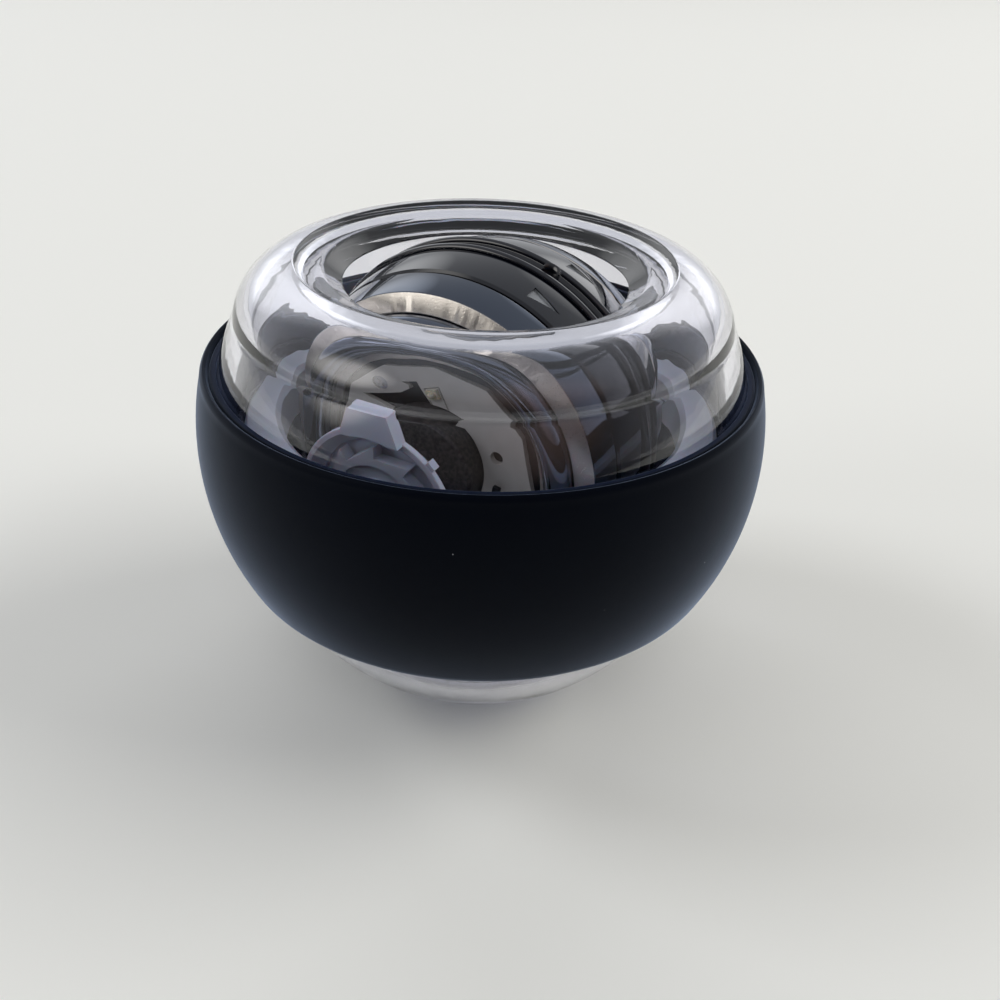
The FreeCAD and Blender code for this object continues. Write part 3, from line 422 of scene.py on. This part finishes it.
# Steel, turned and ground: bright grey with fine marks round the axis.
def groundSteel():
    look = {"colour": "#A9AAAD", "marksPerMm": 14.0, "markDepth": 0.004}
    material, tree, shader, where = newMaterial("steel turned and ground", look["colour"], 0.28, Metallic=1.0)
    radius, place = alongAxle(tree, where)
    marks = addNode(tree, "TexNoise", {"W": place, "Scale": look["marksPerMm"], "Detail": 3.0},
                    noise_dimensions="1D")
    rough = addNode(tree, "MapRange", {"Value": marks, "To Min": 0.2, "To Max": 0.38})
    raised = addNode(tree, "Bump", {"Height": marks, "Distance": look["markDepth"] * mm})
    feed(shader, Roughness=rough, Normal=raised)
    return material


# Bronze, sintered: warm and dull, with open pores.
def sinteredBronze():
    look = {"colour": "#9C7A4C", "metal": "#A07E50", "pore": "#4A3722", "poreSize": 0.12, "poreDepth": 0.01}
    material, tree, shader, where = newMaterial("bronze sintered", look["colour"], 0.42, Metallic=1.0)
    grains = addNode(tree, "TexNoise", {"Vector": where, "Scale": perMetre(look["poreSize"]), "Detail": 2.0})
    closed = addNode(tree, "MapRange", {"Value": grains, "From Min": 0.35, "From Max": 0.5})
    colour = addNode(tree, "Mix", {0: closed, 6: hexLinear(look["pore"]), 7: hexLinear(look["metal"])},
                     2, data_type="RGBA")
    raised = addNode(tree, "Bump", {"Height": closed, "Distance": look["poreDepth"] * mm})
    feed(shader, Base_Color=colour, Normal=raised)
    return material


# Copper wire, enamelled and wound: red-brown, one fine ridge for each turn.
def enamelledCopper():
    look = {"colour": "#B5602C", "wire": 0.22, "wireDepth": 0.03, "cloudSize": 1.0}
    material, tree, shader, where = newMaterial("copper wire enamelled", look["colour"], 0.25, Metallic=1.0,
                                                Coat_Weight=0.6, Coat_Roughness=0.08)
    radius, place = alongAxle(tree, where)
    turn = addNode(tree, "Math", {0: place, 1: 2 * math.pi / look["wire"]}, operation="MULTIPLY")
    ridges = addNode(tree, "Math", {0: turn}, operation="SINE")
    raised = addNode(tree, "Bump", {"Height": ridges, "Distance": look["wireDepth"] * mm})
    cloud = addNode(tree, "TexNoise", {"Vector": where, "Scale": perMetre(look["cloudSize"]), "Detail": 3.0})
    rough = addNode(tree, "MapRange", {"Value": cloud, "To Min": 0.2, "To Max": 0.35})
    feed(shader, Roughness=rough, Normal=raised)
    return material


# Magnets with nickel plate: grey mirror, a little clouded.
def nickelPlate():
    look = {"colour": "#B9B6AE", "cloudSize": 0.9}
    material, tree, shader, where = newMaterial("nickel plate on magnets", look["colour"], 0.16, Metallic=1.0)
    cloud = addNode(tree, "TexNoise", {"Vector": where, "Scale": perMetre(look["cloudSize"]), "Detail": 4.0})
    rough = addNode(tree, "MapRange", {"Value": cloud, "To Min": 0.1, "To Max": 0.26})
    feed(shader, Roughness=rough)
    return material


# Epoxy LED body, cast: milky white with yellow patches from the phosphor.
def ledEpoxy():
    look = {"colour": "#D8D6C8", "milk": "#DAD8CC", "phosphor": "#C9BE8C", "patch": 0.6, "satin": 0.3}
    material, tree, shader, where = newMaterial("epoxy cast white", look["colour"], 0.2, IOR=1.54,
                                                Subsurface_Weight=0.3, Subsurface_Scale=0.0005)
    patch = addNode(tree, "TexNoise", {"Vector": where, "Scale": perMetre(look["patch"]), "Detail": 1.0})
    colour = addNode(tree, "Mix", {0: patch, 6: hexLinear(look["milk"]), 7: hexLinear(look["phosphor"])},
                     2, data_type="RGBA")
    satin = addNode(tree, "TexNoise", {"Vector": where, "Scale": perMetre(look["satin"]), "Detail": 2.0})
    rough = addNode(tree, "MapRange", {"Value": satin, "To Min": 0.14, "To Max": 0.26})
    feed(shader, Base_Color=colour, Roughness=rough)
    return material


finish = {
    "clear": clearPolycarbonate(),
    "silicone": siliconeRubber(),
    "nylon": nylon(),
    "black": blackAbs(),
    "filled": filledNylon(),
    "gloss": glossBlackAbs(),
    "zinc": platedZinc(),
    "chrome": darkChrome(),
    "board": solderMask(),
    "steel": groundSteel(),
    "bronze": sinteredBronze(),
    "copper": enamelledCopper(),
    "magnet": nickelPlate(),
    "led": ledEpoxy(),
}
print("materials made")

# Clear shells, in millimetres, heights from the ball's centre
shell = {"radius": 33.5, "wall": 2.5, "crease": 15.2, "crown": (22.5, 21.5), "crownWall": 2.4,
         "crownRise": 0.25, "crest": (19.3, 20.3), "step": (18.9, 20.1), "lip": (16.9, 18.7), "lipEdge": 0.3,
         "seam": 3.5, "spigotGap": 0.1, "race": (32.3, 1.35), "bowlTop": 17.0, "bowlRise": 2.2, "foot": 13.0,
         "footRound": 1.5, "recess": (10.8, 0.5), "floor": 11.4, "floorRound": 1.2, "floorWall": 2.4,
         "edgeRound": 0.14}


def upperShell():
    crown = shell["crown"]
    crease = onSphere(shell["radius"], shell["crease"])
    drop = crown[1] - shell["crease"]
    rollRadius = ((crease[0] - crown[0]) ** 2 + drop ** 2) / (2 * drop)
    rollMiddle = Vector((crown[0], crown[1] - rollRadius))
    innerRadius = shell["radius"] - shell["wall"]
    innerRoll = rollRadius - shell["crownWall"]
    reach = rollMiddle.length
    along = (innerRadius ** 2 + reach ** 2 - innerRoll ** 2) / (2 * reach)
    aside = math.sqrt(innerRadius ** 2 - along ** 2)
    toward = rollMiddle.normalized()
    innerCrease = tuple(toward * along + Vector((toward.y, -toward.x)) * aside)
    lip = shell["lip"]
    raceRadius, raceHeight = shell["race"]
    spigot = raceRadius - shell["spigotGap"]
    profile = arc((0, 0), onSphere(shell["radius"], shell["seam"]), crease, 20)[:-1]
    profile += arc(tuple(rollMiddle), crease, crown, 32)
    profile += bow(crown, shell["crest"], shell["crownRise"], 8)[1:]
    profile += [shell["step"], lip, (lip[0] + shell["lipEdge"], lip[1] - shell["lipEdge"])]
    profile += arc(tuple(rollMiddle), (crown[0], crown[1] - shell["crownWall"]), innerCrease, 24)
    profile += arc((0, 0), innerCrease, onSphere(innerRadius, raceHeight), 24)[1:]
    profile += [(spigot, raceHeight), (spigot, shell["seam"])]
    return soften(lathe("clear_dome", profile, uprightPlace), shell["edgeRound"])


def lowerShell():
    centreHeight = ballCentre.z / mm
    innerRadius = shell["radius"] - shell["wall"]
    raceRadius, raceHeight = shell["race"]
    top = shell["seam"] - shell["spigotGap"]
    bowl = onSphere(shell["radius"], -shell["bowlTop"])
    corner = (shell["foot"] + shell["footRound"], shell["footRound"] - centreHeight)
    ground = (shell["foot"], -centreHeight)
    recessRadius, recessDepth = shell["recess"]
    floorTop = shell["floorWall"] - centreHeight
    innerBowl = onSphere(innerRadius, -shell["bowlTop"])
    innerCorner = (shell["floor"] + shell["floorRound"], floorTop + shell["floorRound"])
    profile = arc((0, 0), onSphere(shell["radius"], top), bowl, 30)[:-1]
    profile += bow(bowl, corner, shell["bowlRise"], 22)
    profile += arc((shell["foot"], corner[1]), corner, ground, 6)[1:]
    profile += [(recessRadius, -centreHeight), (recessRadius - recessDepth, recessDepth - centreHeight)]
    profile += [(0, recessDepth - centreHeight), (0, floorTop), (shell["floor"], floorTop)]
    profile += arc((shell["floor"], innerCorner[1]), (shell["floor"], floorTop), innerCorner, 6)[1:]
    profile += bow(innerBowl, innerCorner, shell["bowlRise"], 22)[::-1][1:-1]
    profile += arc((0, 0), innerBowl, onSphere(innerRadius, -raceHeight), 24)
    profile += [(raceRadius, -raceHeight), (raceRadius, top)]
    return soften(lathe("clear_bowl", profile, uprightPlace), shell["edgeRound"])


# Grip band
band = {"seat": 33.55, "radius": 35.5, "drop": 0.7, "top": 9.0, "bottom": 16.5, "bead": 0.9, "beadRise": 0.5,
        "beadBow": 0.12, "beadFoot": (0.1, 0.3), "groove": 0.35, "edge": 0.5, "edgeRound": 0.12}


def gripBand():
    middle = (0, -band["drop"])
    topHeight = band["top"] - band["beadRise"]
    outerTop = (math.sqrt(band["radius"] ** 2 - (topHeight + band["drop"]) ** 2), topHeight)
    beadMiddle = (outerTop[0] - band["bead"] / 2, topHeight + band["beadRise"] / 2)
    beadTop = (beadMiddle[0], band["top"] + band["beadRise"])
    beadEnd = (outerTop[0] - band["bead"], band["top"])
    groove = (beadEnd[0] - band["groove"] / 2, band["top"] - band["groove"])
    innerTop = onSphere(band["seat"], band["top"])
    innerLow = onSphere(band["seat"], -band["bottom"])
    lowHeight = band["edge"] - band["bottom"]
    outerLow = (math.sqrt(band["radius"] ** 2 - (lowHeight + band["drop"]) ** 2), lowHeight)
    profile = arc(middle, outerLow, outerTop, 40)
    profile += bow(outerTop, beadTop, band["beadBow"], 6)[1:]
    footAcross, footUp = band["beadFoot"]
    profile += [(beadEnd[0] + footAcross, band["top"] + footUp), beadEnd, groove]
    profile += [(beadEnd[0] - band["groove"], band["top"])]
    profile += arc((0, 0), innerTop, innerLow, 24)
    profile += [(outerLow[0] - band["edge"], -band["bottom"])]
    return soften(lathe("grip_band_silicone", profile, uprightPlace, 320), band["edgeRound"])


put(upperShell(), finish["clear"], "shell", "clear_polycarbonate", "upper_shell")
put(lowerShell(), finish["clear"], "shell", "clear_polycarbonate", "lower_shell")
put(gripBand(), finish["silicone"], "shell", "silicone_band", "grip_band")
print("shells and band made")

# Drum halves, in the axle's frame: radii from the axle and places along it
drum = {"radius": 22.6, "crown": 0.95, "halfWidth": 7.4, "bore": 20.45, "edge": 0.25, "edgeRound": 0.07,
        "line": 2.25, "lineWidth": 0.3, "lineDepth": 0.4, "beadCrest": (23.1, 1.5), "beadEnd": (22.45, 1.05),
        "groove": (21.6, 0.75), "joint": 0.1, "holeAngle": 21.0, "holeRadius": 0.9, "reliefRadius": 1.5,
        "reliefDepth": 1.2, "arrows": 3, "arrowAngle": 22.2, "arrowPlace": 5.1, "arrowLength": 4.2,
        "arrowWidth": 2.0, "arrowTip": 0.08, "arrowDepth": 0.35}
cutterReach = {"arrow": 1.5, "hole": 3.0}      # how far the cutting shapes pass what they cut


# Radius of the crowned drum at a place along the axle.
def drumSurface(place):
    sweep = (drum["halfWidth"] ** 2 + drum["crown"] ** 2) / (2 * drum["crown"])
    return drum["radius"] - sweep + math.sqrt(sweep ** 2 - place ** 2)


def cutBy(piece, cutter):
    cut = piece.modifiers.new("cut", "BOOLEAN")
    cut.object = cutter
    cut.operation = "DIFFERENCE"
    cut.solver = "EXACT"


def hideAway(cutter):
    cutter.hide_render = True
    cutter.hide_viewport = True


# A triangular wedge with a curved floor, pointing the way the rotor is wound.
def arrowCutter(side, turn):
    bm = bmesh.new()
    steps = 16
    span = math.degrees(drum["arrowLength"] / drum["radius"])
    rows = []
    for k in range(steps + 1):
        share = k / steps
        angle = drum["arrowAngle"] + turn + span * share
        half = max(drum["arrowWidth"] / 2 * (1 - share), drum["arrowTip"] / 2)
        row = []
        for lift in (-drum["arrowDepth"], cutterReach["arrow"]):
            for end in (-half, half):
                place = side * drum["arrowPlace"] + end
                row.append(bm.verts.new(polar(drumSurface(place) + lift, angle, place)))
        rows.append(row)
    for here, there in zip(rows, rows[1:]):
        for a, b in ((0, 1), (1, 3), (3, 2), (2, 0)):
            bm.faces.new((here[a], here[b], there[b], there[a]))
    for row in (rows[0], rows[-1]):
        bm.faces.new((row[0], row[1], row[3], row[2]))
    return meshObject("arrow_cutter", bm, axlePlace)


# A stepped pin for the string hole and its relief.
def holeCutter():
    crest = drum["beadCrest"][0]
    ledge = crest - drum["reliefDepth"]
    outside = crest + cutterReach["hole"]
    within = drum["bore"] - cutterReach["hole"]
    steps = [(0, outside), (drum["reliefRadius"], outside), (drum["reliefRadius"], ledge),
             (drum["holeRadius"], ledge), (drum["holeRadius"], within), (0, within)]
    turn = math.radians(drum["holeAngle"])
    outward = axleRight * math.sin(turn) + up * math.cos(turn)
    side = axleWay.cross(outward)
    place = placeOf(side, outward.cross(side), outward)
    return lathe("hole_cutter", steps, place, 48)


def drumHalf(name, side):
    crest, end, groove = drum["beadCrest"], drum["beadEnd"], drum["groove"]
    start = drum["line"] - drum["lineWidth"]
    radius = drum["radius"]
    outer = drum["halfWidth"] - drum["edge"]
    profile = [(drum["bore"], drum["joint"]), (drum["bore"], drum["halfWidth"]),
               (drumSurface(drum["halfWidth"]) - drum["edge"], drum["halfWidth"])]
    for k in range(17):
        place = outer + (drum["line"] - outer) * k / 16
        profile.append((drumSurface(place), place))
    lineFloor = radius - drum["lineDepth"]
    profile += [(lineFloor, drum["line"]), (lineFloor, start), (end[0], start)]
    profile += bow((end[0], start), end, crest[0] - end[0], 14)[1:]
    profile += [groove, (groove[0], drum["joint"])]
    piece = lathe(name, mirrored(profile, side), axlePlace, 480)
    for k in range(drum["arrows"]):
        cutter = arrowCutter(side, 360 * k / drum["arrows"])
        cutBy(piece, cutter)
        hideAway(cutter)
    cutter = holeCutter()
    cutBy(piece, cutter)
    hideAway(cutter)
    return soften(piece, drum["edgeRound"], 2)


# Weight ring and trim ring of one end
weight = {"gap": 0.3, "bore": 14.0, "body": 20.4, "crest": (21.5, 7.6), "crestRound": 0.45,
          "mirrorEnd": (20.4, 11.6), "coneEnd": (18.4, 12.5), "seat": (18.3, 12.2), "edgeRound": 0.1}
trim = {"inner": 15.0, "outer": 18.2, "seat": 12.2, "straight": 0.9}


def weightRing(name, side):
    crestRadius, crestPlace = weight["crest"]
    roundness = weight["crestRound"]
    middle = (crestRadius - roundness, crestPlace + roundness)
    profile = [(weight["bore"], weight["gap"]), (weight["body"], weight["gap"]), (weight["body"], crestPlace)]
    profile += arc(middle, (middle[0], crestPlace), (crestRadius, middle[1]), 6)
    seatRadius, seatPlace = weight["seat"]
    profile += [weight["mirrorEnd"], weight["coneEnd"], (seatRadius, weight["coneEnd"][1]), weight["seat"]]
    profile += [(weight["bore"], seatPlace)]
    return soften(lathe(name, mirrored(profile, side), axlePlace, 360), weight["edgeRound"])


def trimRing(name, side):
    roundness = (trim["outer"] - trim["inner"]) / 2
    straightEnd = trim["seat"] + trim["straight"]
    middle = (trim["inner"] + roundness, straightEnd)
    innerEnd = (trim["inner"], straightEnd)
    crest = (middle[0], straightEnd + roundness)
    profile = [(trim["outer"], trim["seat"]), (trim["inner"], trim["seat"]), innerEnd]
    profile += arc(middle, innerEnd, crest, 12)[1:]
    profile += arc(middle, crest, (trim["outer"], straightEnd), 12)[1:]
    return lathe(name, mirrored(profile, side), axlePlace, 320)


for end, side in (("near", 1), ("far", -1)):
    half = drumHalf("drum_" + end + "_gloss", side)
    put(half, finish["gloss"], "rotor", "gloss_black_abs", "drum_" + end)
    heavy = weightRing("weight_" + end + "_cast", side)
    put(heavy, finish["zinc"], "rotor", "zinc", "weight_ring_" + end)
    bright = trimRing("trim_" + end + "_plated", side)
    put(bright, finish["chrome"], "rotor", "dark_chrome", "trim_ring_" + end)
print("rotor rings made")

# CAD nodes that keep their shape get their finish here
dressed = {
    "clear": ["foot_disc"],
    "nylon": ["track_ring", "ratchet_pawl", "magnet_cover", "ratchet_wheel"],
    "bronze": ["arbor_bush", "axle_bush"],
    "steel": ["pawl_pin", "axle", "board_screws", "cover_screws", "mainspring", "spring_arbor"],
    "magnet": ["ring_magnets"],
    "black": ["rotor_core", "board_chip", "board_capacitor", "board_resistors", "coil_bobbin", "far_cover"],
    "filled": ["spring_barrel", "barrel_lid"],
    "board": ["circuit_board"],
    "led": ["board_leds"],
    "copper": ["generator_coil"],
}
for key, names in dressed.items():
    for name in names:
        node = nodes[name]
        if not node.material_slots:
            node.data.materials.append(finish[key])
        for slot in node.material_slots:
            slot.material = finish[key]
print("CAD nodes dressed")

# The paper that the ball stands on
paper = {"size": 4.0, "colour": "#F2F2EF", "fibre": 0.8, "fibreDepth": 0.02}


def paperFloor():
    material, tree, shader, where = newMaterial("paper matt white", paper["colour"], 0.85, IOR=1.45,
                                                Specular_IOR_Level=0.2)
    fibres = addNode(tree, "TexNoise", {"Vector": where, "Scale": perMetre(paper["fibre"]), "Detail": 3.0})
    raised = addNode(tree, "Bump", {"Height": fibres, "Distance": paper["fibreDepth"] * mm, "Strength": 0.3})
    feed(shader, Normal=raised)
    mesh = bpy.data.meshes.new("paper")
    half = paper["size"] / 2
    corners = [(-half, -half, 0), (half, -half, 0), (half, half, 0), (-half, half, 0)]
    mesh.from_pydata(corners, [], [(0, 1, 2, 3)])
    floor = bpy.data.objects.new("paper", mesh)
    floor.data.materials.append(material)
    scene.collection.objects.link(floor)


paperFloor()

# Soft light: windows to the right and left, a wide one behind, and little from the front. Angles in degrees,
# sizes in metres.
lamps = {
    "right": {"azimuth": 86, "elevation": 38, "size": (1.45, 0.7), "watts": 21.0, "colour": "#FFFEFA"},
    "left": {"azimuth": -80, "elevation": 38, "size": (0.7, 0.7), "watts": 11.5, "colour": "#FBFDFF"},
    "leftLow": {"azimuth": -110, "elevation": 20, "size": (0.7, 0.7), "watts": 6.1, "colour": "#FBFDFF"},
    "back": {"azimuth": -5, "elevation": 46, "size": (2.4, 0.5), "watts": 10.8, "colour": "#FFFFFF"},
    "front": {"azimuth": 180, "elevation": 52, "size": (0.8, 0.6), "watts": 3.6, "colour": "#FFFFFF"},
}
lampDistance = 2.0


# A direction from the ball: azimuth from straight behind it towards the right.
def toward(azimuth, elevation):
    turn, lift = math.radians(azimuth), math.radians(elevation)
    return Vector((math.sin(turn) * math.cos(lift), math.cos(turn) * math.cos(lift), math.sin(lift)))


for name, lamp in lamps.items():
    data = bpy.data.lights.new(name, "AREA")
    data.shape = "RECTANGLE"
    data.size, data.size_y = lamp["size"]
    data.energy = lamp["watts"]
    data.color = hexLinear(lamp["colour"])[:3]
    away = toward(lamp["azimuth"], lamp["elevation"])
    lampObject = bpy.data.objects.new(name, data)
    lampObject.visible_glossy = False          # polish and glass show the room, not a hard square
    lampObject.visible_transmission = False
    lampObject.location = ballCentre + away * lampDistance
    lampObject.rotation_euler = away.to_track_quat("Z", "Y").to_euler()
    scene.collection.objects.link(lampObject)

# The room: a plain pale wall, which glass and polish show too, with a dark card in front of the ball and soft
# panes of light beside it
room = {"wall": "#DFE0DD", "card": "#4A4440", "back": "#D0D2D6", "top": "#B5B8BE", "fill": 0.16}
panes = {
    "leftFront": {"azimuth": -113, "elevation": 29, "half": 21, "bright": 2.4, "colour": "#FFFCF6"},
    "leftBack": {"azimuth": -33, "elevation": 24, "half": 22, "bright": 1.0, "colour": "#FBFDFF"},
    "rightBack": {"azimuth": 33, "elevation": 24, "half": 22, "bright": 1.0, "colour": "#FFFFFF"},
    "rightFront": {"azimuth": 152, "elevation": 30, "half": 30, "bright": 0.24, "colour": "#FFD9CD"},
}


def roomLight():
    world = bpy.data.worlds.new("room")
    world.use_nodes = True
    scene.world = world
    tree = world.node_tree
    tree.nodes.clear()
    direction = addNode(tree, "TexCoord", {}, "Generated")
    sideways = addNode(tree, "SeparateXYZ", {0: direction})
    ways = sideways.node.outputs
    backward = addNode(tree, "MapRange", {"Value": ways["Y"], "From Min": -0.7, "From Max": 0.3})
    upward = addNode(tree, "MapRange", {"Value": ways["Z"], "From Min": 0.3, "From Max": 0.9})
    around = addNode(tree, "Mix", {0: backward, 6: hexLinear(room["card"]), 7: hexLinear(room["back"])}, 2,
                     data_type="RGBA")
    colour = addNode(tree, "Mix", {0: upward, 6: around, 7: hexLinear(room["top"])}, 2, data_type="RGBA")
    seen = addNode(tree, "Background", {"Color": colour, "Strength": 1.0})
    for pane in panes.values():
        middle = toward(pane["azimuth"], pane["elevation"])
        facing = addNode(tree, "VectorMath", {0: direction, 1: middle}, "Value", operation="DOT_PRODUCT")
        edge = math.cos(math.radians(pane["half"]))
        core = math.cos(math.radians(pane["half"] / 2))
        strength = addNode(tree, "MapRange", {"Value": facing, "From Min": edge, "From Max": core,
                                              "To Max": pane["bright"]})
        glow = addNode(tree, "Background", {"Color": hexLinear(pane["colour"]), "Strength": strength})
        seen = addNode(tree, "AddShader", {0: seen, 1: glow})
    cameraRay = addNode(tree, "LightPath", {}, "Is Camera Ray")
    rays = cameraRay.node.outputs
    shown = addNode(tree, "Math", {0: rays["Is Glossy Ray"], 1: rays["Is Transmission Ray"]},
                    operation="MAXIMUM")
    fill = addNode(tree, "Background", {"Color": hexLinear("#FFFFFF"), "Strength": room["fill"]})
    both = addNode(tree, "MixShader", {0: shown, 1: fill, 2: seen})
    wall = addNode(tree, "Background", {"Color": hexLinear(room["wall"]), "Strength": 1.0})
    whole = addNode(tree, "MixShader", {0: cameraRay, 1: both, 2: wall})
    addNode(tree, "OutputWorld", {"Surface": whole})


roomLight()
scene.view_settings.view_transform = "Standard"
scene.cycles.max_bounces = 20
scene.cycles.transmission_bounces = 20
scene.cycles.transparent_max_bounces = 16
print("floor and light made")

# The camera, from the photograph's view: distance from the ball's centre in millimetres, angles in degrees
view = {"distance": 133.2, "elevation": 27.8, "pitch": 32.31, "yaw": 1.33, "roll": 2.37, "lens": 37.08}


def setCamera():
    lift, pitch, yaw, roll = (math.radians(view[key]) for key in ("elevation", "pitch", "yaw", "roll"))
    forward = Vector((math.sin(yaw) * math.cos(pitch), math.cos(yaw) * math.cos(pitch), -math.sin(pitch)))
    right = forward.cross(up).normalized()
    upward = right.cross(forward)
    side = right * math.cos(roll) + upward * math.sin(roll)
    top = upward * math.cos(roll) - right * math.sin(roll)
    matrix = Matrix((side, top, -forward)).transposed().to_4x4()
    matrix.translation = ballCentre + Vector((0, -math.cos(lift), math.sin(lift))) * view["distance"] * mm
    data = bpy.data.cameras.new("camera")
    data.lens = view["lens"]
    data.sensor_width = 36.0
    data.clip_start = 0.01
    camera = bpy.data.objects.new("camera", data)
    camera.matrix_world = matrix
    scene.collection.objects.link(camera)
    scene.camera = camera


setCamera()
bpy.context.view_layer.update()
print("scene ready")
